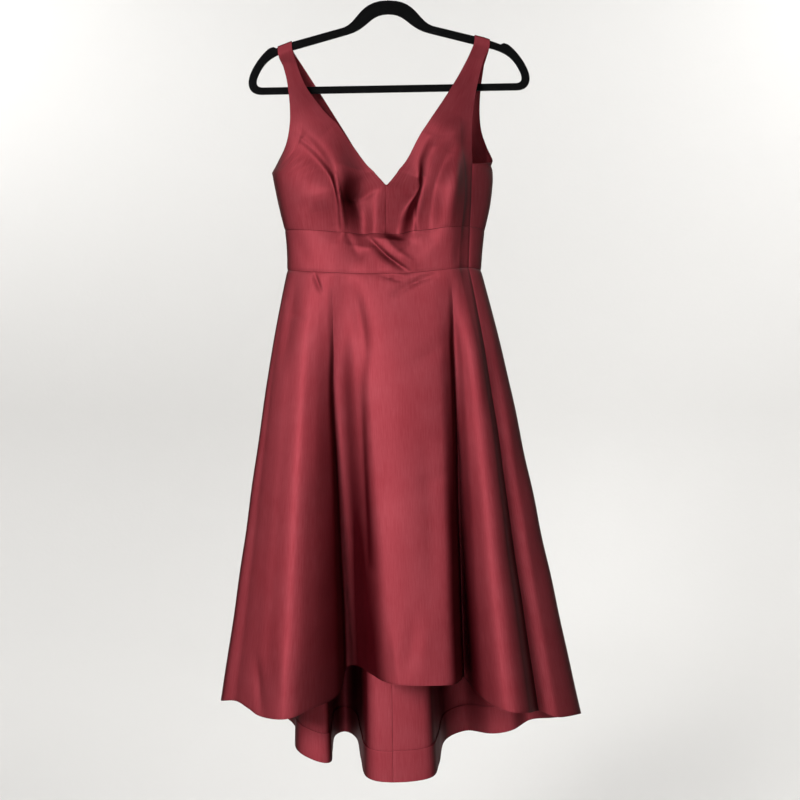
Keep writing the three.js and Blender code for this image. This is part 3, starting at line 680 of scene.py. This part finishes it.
def duchess_satin():
    """Duchess satin of polyester: long floats of smooth thread over a dense backing, calendered.
    The floats give a broad soft shine that stretches across the threads, and faint slubs along the
    warp.
    The base colour carries painted shade where the cloth turns away from the eye."""
    colours = bpy.context.scene.dress_colours
    material, tree, shader = new_material(SATIN, {
        "Metallic": 0.2,
        "Roughness": 0.5,
        "Specular IOR Level": 0.13,
        "Specular Tint": linear("#E48890"),
        "Anisotropic": 0.3,
    })
    cloth = add_node(tree, "ShaderNodeUVMap", uv_map=CLOTH_UV)
    # Slubs are 0.4 mm wide and 25 mm long in the cloth, drawn 1.2 mm by 30 mm so that they show.
    slub_place = add_node(
        tree, "ShaderNodeMapping", {"Scale": (1 / 0.0012, 1 / 0.03, 1)},
        {"Vector": cloth.outputs[0]},
    )
    slubs = add_node(
        tree, "ShaderNodeTexNoise", {"Scale": 1, "Detail": 3, "Roughness": 0.6},
        {"Vector": slub_place.outputs[0]},
    )
    cloud = add_node(
        tree, "ShaderNodeTexNoise", {"Scale": 14, "Detail": 4, "Roughness": 0.55},
        {"Vector": cloth.outputs[0]},
    )
    both = add_node(
        tree, "ShaderNodeMix", {"Factor": 0.45},
        {"A": slubs.outputs["Fac"], "B": cloud.outputs["Fac"]},
    )
    shades = add_node(tree, "ShaderNodeValToRGB", links={"Fac": both.outputs[0]})
    shades.color_ramp.elements[0].position = 0.36
    shades.color_ramp.elements[0].color = colours.satin_deep
    shades.color_ramp.elements[1].position = 0.64
    shades.color_ramp.elements[1].color = colours.satin
    # Painted shade: the Layer Weight's facing darkens the base colour where the cloth turns away
    # from the eye.
    turned = add_node(tree, "ShaderNodeLayerWeight", {"Blend": 0.5})
    depth = add_node(tree, "ShaderNodeValToRGB", links={"Fac": turned.outputs["Facing"]})
    depth.color_ramp.elements[0].position = 0.1
    depth.color_ramp.elements[0].color = linear("#FFFFFF")
    depth.color_ramp.elements[1].position = 0.6
    depth.color_ramp.elements[1].color = linear("#6A3A48")
    # The slubs' tone, multiplied by that painted shade, gives the base colour.
    face = add_node(
        tree, "ShaderNodeMix", {0: 1}, {6: shades.outputs[0], 7: depth.outputs[0]},
        data_type="RGBA", blend_type="MULTIPLY",
    )
    tree.links.new(face.outputs[2], shader.inputs["Base Color"])
    polish = add_node(
        tree, "ShaderNodeMapRange", {"To Min": 0.54, "To Max": 0.62}, {"Value": both.outputs[0]}
    )
    tree.links.new(polish.outputs[0], shader.inputs["Roughness"])
    fine = add_node(
        tree, "ShaderNodeBump", {"Strength": 0.35, "Distance": 0.00012},
        {"Height": slubs.outputs["Fac"]},
    )
    handled = add_node(
        tree, "ShaderNodeTexNoise", {"Scale": 55, "Detail": 2, "Roughness": 0.5},
        {"Vector": cloth.outputs[0]},
    )
    soft = add_node(
        tree, "ShaderNodeBump", {"Strength": 0.25, "Distance": 0.0006},
        {"Height": handled.outputs["Fac"], "Normal": fine.outputs[0]},
    )
    tree.links.new(soft.outputs[0], shader.inputs["Normal"])
    grain = add_node(tree, "ShaderNodeTangent", direction_type="UV_MAP", uv_map=CLOTH_UV)
    tree.links.new(grain.outputs[0], shader.inputs["Tangent"])
    return material


def flocked_plastic():
    """Short nylon flock, stuck on moulded plastic. It swallows light, with a faint grey bloom
    where it turns away and a fine uneven nap."""
    colours = bpy.context.scene.dress_colours
    material, tree, shader = new_material(FLOCK, {
        "Roughness": 0.95,
        "Specular IOR Level": 0.2,
        "Sheen Weight": 0.1,
        "Sheen Roughness": 0.5,
        "Sheen Tint": linear("#8A8A92"),
    })
    place = add_node(tree, "ShaderNodeTexCoord")
    # The nap's tufts are about 0.5 mm across.
    nap = add_node(
        tree, "ShaderNodeTexNoise", {"Scale": 1 / 0.0005, "Detail": 2},
        {"Vector": place.outputs["Object"]},
    )
    patches = add_node(
        tree, "ShaderNodeTexNoise", {"Scale": 60, "Detail": 3}, {"Vector": place.outputs["Object"]}
    )
    shade = add_node(tree, "ShaderNodeValToRGB", links={"Fac": patches.outputs["Fac"]})
    shade.color_ramp.elements[0].color = linear("#020203")
    shade.color_ramp.elements[1].color = colours.flock
    tree.links.new(shade.outputs[0], shader.inputs["Base Color"])
    bump = add_node(
        tree, "ShaderNodeBump", {"Strength": 0.6, "Distance": 0.0003},
        {"Height": nap.outputs["Fac"]},
    )
    tree.links.new(bump.outputs[0], shader.inputs["Normal"])
    return material


def plated_steel():
    """Drawn steel wire, nickel plated: bright, with fine marks along the wire."""
    material, tree, shader = new_material(STEEL, {
        "Base Color": linear("#C9C7C2"),
        "Metallic": 1,
        "Roughness": 0.2,
    })
    place = add_node(tree, "ShaderNodeTexCoord")
    marks = add_node(
        tree, "ShaderNodeTexNoise", {"Scale": 700, "Detail": 3}, {"Vector": place.outputs["Object"]}
    )
    worn = add_node(
        tree, "ShaderNodeMapRange", {"To Min": 0.14, "To Max": 0.3}, {"Value": marks.outputs["Fac"]}
    )
    tree.links.new(worn.outputs[0], shader.inputs["Roughness"])
    return material


def dyed_zinc():
    """Die-cast zinc with a baked enamel dyed to the cloth: smooth, a little glossy and worn
    thinner in spots."""
    material, tree, shader = new_material(ENAMEL, {
        "Roughness": 0.35,
        "Coat Weight": 0.3,
        "Coat Roughness": 0.2,
    })
    place = add_node(tree, "ShaderNodeTexCoord")
    spots = add_node(
        tree, "ShaderNodeTexNoise", {"Scale": 900, "Detail": 3}, {"Vector": place.outputs["Object"]}
    )
    shade = add_node(tree, "ShaderNodeValToRGB", links={"Fac": spots.outputs["Fac"]})
    shade.color_ramp.elements[0].color = linear("#4E101A")
    shade.color_ramp.elements[1].color = linear("#6C1B27")
    tree.links.new(shade.outputs[0], shader.inputs["Base Color"])
    return material


def painted_wall():
    """Matt emulsion on a rolled wall and floor: pale, with a faint roller stipple."""
    colours = bpy.context.scene.dress_colours
    material, tree, shader = new_material(EMULSION, {
        "Roughness": 0.9,
        "Specular IOR Level": 0.2,
    })
    shader.inputs["Base Color"].default_value = colours.wall
    place = add_node(tree, "ShaderNodeTexCoord")
    stipple = add_node(
        tree, "ShaderNodeTexNoise", {"Scale": 60, "Detail": 3}, {"Vector": place.outputs["Object"]}
    )
    bump = add_node(
        tree, "ShaderNodeBump", {"Strength": 0.15, "Distance": 0.002},
        {"Height": stipple.outputs["Fac"]},
    )
    tree.links.new(bump.outputs[0], shader.inputs["Normal"])
    return material


def shared_material(name, maker):
    """The material of that name, made the first time it is asked for."""
    return bpy.data.materials.get(name) or maker()


# ------------------------------------------------------------------ operators
BODICE_COLUMNS, CUP_STEPS, STRAP_ROW_STEPS = 96, 20, 16
BODICE_RIPPLES = {"pitch": 60, "height": 0.25, "seed": 3}
# Rows over which the creases die away towards the shoulder seam.
SHOULDER_ROWS = 60
QUARTERS = {
    "front_left": FRONT_LEFT,
    "front_right": FRONT_RIGHT,
    "back_left": BACK_LEFT,
    "back_right": BACK_RIGHT,
}
# Each side of a level seam stands back this far from it, in millimetres.
GAP = 0.15


class DRESS_OT_bodice(bpy.types.Operator):
    """The four bodice pieces, each with its strap, cup, darts and creases"""

    bl_idname = "dress.bodice"
    bl_label = "Bodice"

    def execute(self, context):
        sizes = context.scene.dress_sizes
        cloth = sizes.cloth / MM
        satin = shared_material(SATIN, duchess_satin)
        s = np.linspace(0, 1, BODICE_COLUMNS + 1)
        for name, panel in QUARTERS.items():
            cup = section(panel, "cup", CUP_STEPS, s)
            strap = section(panel, "strap", STRAP_ROW_STEPS, s)[1:]
            points = np.concatenate([cup, strap, strap_top(panel, strap[-1], cloth)])
            points = ease_row(points, len(cup) - 1, s)
            points[0, :, 2] += GAP
            normal = normals_of(points, centre_seam=True, level_rows=(0,))
            table = FRONT_CREASES if panel["front"] < 0 else BACK_CREASES
            height = crease(points, table, sizes.crease_strength, (-1,))
            if panel["front"] < 0:
                height += dart_grooves(points)
            height += ripples(points, **BODICE_RIPPLES)
            to_shoulder = len(points) - np.arange(len(points))
            height *= np.clip(to_shoulder / SHOULDER_ROWS, 0, 1)[:, None]
            points = points + normal * height[..., None]
            roll = edge_roll(points, {"first_row": BUST_ROLL})
            roll += edge_roll(points, {"last_column": SIDE_ROLL}) * sewn_below(points, panel)
            points = points + normal * roll[..., None]
            piece = cloth_object(f"satin_bodice_{name}", points, satin, sizes.cloth)
            declare(piece, f"bodice_{name}")
        return {"FINISHED"}


BAND_COLUMNS, BAND_STEPS = 80, 18
BAND_RIPPLES = {"pitch": 60, "height": 0.2, "seed": 4}
BAND_ROLLS = {
    "first_row": WAIST_ROLL, "last_row": BUST_ROLL, "first_column": SIDE_ROLL,
    "last_column": SIDE_ROLL,
}


class DRESS_OT_band(bpy.types.Operator):
    """The midriff band, front and back"""

    bl_idname = "dress.band"
    bl_label = "Midriff band"

    def execute(self, context):
        sizes = context.scene.dress_sizes
        satin = shared_material(SATIN, duchess_satin)
        s = np.linspace(0, 1, BAND_COLUMNS + 1)
        quarters = {
            name: section(panel, "band", BAND_STEPS, s) for name, panel in QUARTERS.items()
        }
        front = np.concatenate(
            [quarters["front_left"][:, ::-1], quarters["front_right"][:, 1:]], axis=1
        )
        for name, points, table in (
            ("front", front, FRONT_CREASES),
            ("back_left", quarters["back_left"], BACK_CREASES),
            ("back_right", quarters["back_right"], BACK_CREASES),
        ):
            points[0, :, 2] += GAP
            points[-1, :, 2] -= GAP
            normal = normals_of(points, level_rows=(0, -1))
            height = crease(points, table, sizes.crease_strength, (0, -1))
            height += ripples(points, **BAND_RIPPLES)
            height += edge_roll(points, BAND_ROLLS)
            points = points + normal * height[..., None]
            piece = cloth_object(f"satin_band_{name}", points, satin, sizes.cloth)
            declare(piece, f"band_{name}")
        return {"FINISHED"}


# Each skirt piece: its first and last row of folds, its flat width and length, and its area.
SKIRT_PIECES = {
    "front": (0, RIGHT_SEAM_ROW, (0.95, 0.72), 0.40),
    "back_right": (RIGHT_SEAM_ROW, BACK_SEAM_ROW, (0.62, 0.84), 0.28),
    "back_left": (BACK_SEAM_ROW, len(SKIRT_FOLDS), (0.78, 0.84), 0.32),
}


SKIRT_ROWS, HEM_ROWS = 141, 19
# The rows crowd together a little towards the waist.
ROW_CROWDING = 1.08
SKIRT_RIPPLES = {"pitch": 130, "height": 0.7, "seed": 5}
# The turned hem is pressed thinner than the cloth and lies this far inside it.
HEM_THICKNESS, HEM_CLEAR = 0.8, 0.1


class DRESS_OT_skirt(bpy.types.Operator):
    """The three skirt panels with their folds, and the turned-up hem inside each"""

    bl_idname = "dress.skirt"
    bl_label = "Skirt"

    def execute(self, context):
        sizes = context.scene.dress_sizes
        satin = shared_material(SATIN, duchess_satin)
        steps = sizes.fold_steps
        t = np.linspace(0, 1, SKIRT_ROWS) ** ROW_CROWDING
        for name, (first, last, flat, area) in SKIRT_PIECES.items():
            points = skirt_points(first, last, steps, t)
            points[0, :, 2] -= GAP
            normal = normals_of(points, level_rows=(0,))
            table = FRONT_CREASES if name == "front" else BACK_CREASES
            height = crease(points, table, sizes.crease_strength, (0, -1))
            height += ripples(points, **SKIRT_RIPPLES) * np.sin(np.pi * t)[:, None]
            height += edge_roll(points, {
                "first_row": WAIST_ROLL,
                "first_column": CENTRE_BACK_ROLL if first == BACK_SEAM_ROW else SIDE_ROLL,
                "last_column": CENTRE_BACK_ROLL if last == BACK_SEAM_ROW else SIDE_ROLL,
            })
            points = points + normal * height[..., None]
            piece = cloth_object(f"satin_skirt_{name}", points, satin, sizes.cloth)
            hem = self.turned_hem(name, points, normal, t, sizes, satin)
            declare(piece, f"skirt_{name}")
        return {"FINISHED"}

    def turned_hem(self, name, points, normal, t, sizes, satin):
        """The hem allowance, pressed up inside the panel."""
        length = np.linalg.norm(points[-1] - points[0], axis=1).mean()
        rows = np.linspace(1 - sizes.hem_depth / MM / length, 1, HEM_ROWS)
        index = np.interp(rows, t, np.arange(len(t)))
        low = np.floor(index).astype(int).clip(0, len(t) - 2)
        part = (index - low)[:, None, None]
        strip = points[low] * (1 - part) + points[low + 1] * part
        way = normal[low] * (1 - part) + normal[low + 1] * part
        strip = strip - way * (sizes.cloth / MM + HEM_CLEAR)
        hem = cloth_object(f"satin_hem_{name}", strip, satin, sizes.cloth * HEM_THICKNESS)
        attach(hem, DRESS)
        return hem


class DRESS_OT_zip(bpy.types.Operator):
    """The concealed zip's slider and pull tab"""

    bl_idname = "dress.zip"
    bl_label = "Zip"

    def execute(self, context):
        enamel = shared_material(ENAMEL, dyed_zinc)
        for name in ("zip_slider", "zip_pull_tab"):
            finish_node(name, enamel)
        return {"FINISHED"}


class DRESS_OT_hanger(bpy.types.Operator):
    """The flocked hanger and its plated hook"""

    bl_idname = "dress.hanger"
    bl_label = "Hanger"

    def execute(self, context):
        finish_node("hanger_frame", shared_material(FLOCK, flocked_plastic))
        finish_node("hanger_hook", shared_material(STEEL, plated_steel))
        return {"FINISHED"}


def finish_node(name, material):
    """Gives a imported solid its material."""
    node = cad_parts[name]
    for slot in node.material_slots:
        slot.material = material


class DRESS_OT_stage(bpy.types.Operator):
    """Pale round studio wall and floor, soft lights and the camera"""

    bl_idname = "dress.stage"
    bl_label = "Stage"

    CAMERA_AT = (0.0205, -1.6, -0.6927)
    # Height that the camera takes in, at the hanger's distance.
    VIEW_HEIGHT = 1.2624
    SENSOR = 36
    FLOOR, WALL_TOP, WALL_RADIUS, COVE_RADIUS, COVE_STEPS = -1.75, 2.4, 3.7, 1.0, 12
    # Each lamp's name, place, aim, size, power and spread in degrees.
    LAMPS = (
        ("key", (-1.55, -2.5, 0.2), (0, 0, -1.0), 1.0, 11.4, 52),
        ("wall_left", (-2.4, 1.2, 1.6), (0, 3.6, -0.4), 1.2, 78, 180),
        ("wall_right", (2.4, 1.2, 1.6), (0, 3.6, -0.4), 1.2, 70, 180),
    )
    AIR_COLOUR, AIR_STRENGTH = "#E4E6E8", 0.14

    def execute(self, context):
        self.camera(context)
        self.cove(context)
        self.lights(context)
        return {"FINISHED"}

    def camera(self, context):
        data = bpy.data.cameras.new("camera")
        data.sensor_width = self.SENSOR
        data.lens = self.SENSOR * abs(self.CAMERA_AT[1]) / self.VIEW_HEIGHT
        camera = bpy.data.objects.new("camera", data)
        camera.location = self.CAMERA_AT
        camera.rotation_euler = (math.radians(90), 0, 0)
        context.scene.collection.objects.link(camera)
        context.scene.camera = camera

    def cove(self, context):
        flat, bend = self.WALL_RADIUS - self.COVE_RADIUS, self.COVE_RADIUS
        bm = bmesh.new()
        profile = [(0.001, self.FLOOR)]
        for k in range(self.COVE_STEPS + 1):
            turn = math.radians(90 * k / self.COVE_STEPS)
            x, z = flat + bend * math.sin(turn), self.FLOOR + bend * (1 - math.cos(turn))
            profile.append((x, z))
        profile.append((self.WALL_RADIUS, self.WALL_TOP))
        verts = [bm.verts.new((x, 0, z)) for x, z in profile]
        edges = [bm.edges.new(pair) for pair in zip(verts, verts[1:])]
        bmesh.ops.spin(
            bm, geom=verts + edges, cent=(0, 0, 0), axis=(0, 0, 1), angle=2 * math.pi, steps=96,
            use_merge=True,
        )
        bmesh.ops.remove_doubles(bm, verts=bm.verts, dist=0.0005)
        bmesh.ops.recalc_face_normals(bm, faces=bm.faces)
        for face in bm.faces:
            face.smooth = True
        mesh = bpy.data.meshes.new("studio_cove")
        bm.to_mesh(mesh)
        bm.free()
        mesh.materials.append(shared_material(EMULSION, painted_wall))
        cove = bpy.data.objects.new("studio_cove", mesh)
        context.scene.collection.objects.link(cove)

    def lights(self, context):
        for name, place, target, size, power, spread in self.LAMPS:
            data = bpy.data.lights.new(name, "AREA")
            data.size = size
            data.energy = power
            data.spread = math.radians(spread)
            lamp = bpy.data.objects.new(name, data)
            lamp.location = place
            way = Vector(target) - lamp.location
            lamp.rotation_euler = way.to_track_quat("-Z", "Y").to_euler()
            context.scene.collection.objects.link(lamp)
        world = bpy.data.worlds.new("studio_air")
        world.use_nodes = True
        air = world.node_tree.nodes["Background"].inputs
        air["Color"].default_value = linear(self.AIR_COLOUR)
        air["Strength"].default_value = self.AIR_STRENGTH
        context.scene.world = world
        context.scene.view_settings.view_transform = "Standard"


class DRESS_PT_panel(bpy.types.Panel):
    """Lists the dress's sizes, colours and pieces"""

    bl_label = "Dress"
    bl_idname = "DRESS_PT_panel"
    bl_space_type = "VIEW_3D"
    bl_region_type = "UI"
    bl_category = "Dress"

    def draw(self, context):
        column = self.layout.column()
        for group in (context.scene.dress_sizes, context.scene.dress_colours):
            for name in group.__annotations__:
                column.prop(group, name)
        for operator in OPERATORS:
            column.operator(operator.bl_idname)


OPERATORS = (
    DRESS_OT_stage, DRESS_OT_bodice, DRESS_OT_band, DRESS_OT_skirt, DRESS_OT_zip,
    DRESS_OT_hanger,
)
CLASSES = (DressSizes, DressColours, *OPERATORS, DRESS_PT_panel)


def register():
    for cls in CLASSES:
        bpy.utils.register_class(cls)
    bpy.types.Scene.dress_sizes = PointerProperty(type=DressSizes)
    bpy.types.Scene.dress_colours = PointerProperty(type=DressColours)


def unregister():
    del bpy.types.Scene.dress_colours
    del bpy.types.Scene.dress_sizes
    for cls in reversed(CLASSES):
        bpy.utils.unregister_class(cls)


def main():
    """Builds the stage and every piece in order."""
    register()
    bpy.ops.dress.stage()
    bpy.ops.dress.bodice()
    bpy.ops.dress.band()
    bpy.ops.dress.skirt()
    bpy.ops.dress.zip()
    bpy.ops.dress.hanger()


if __name__ == "__main__":
    main()
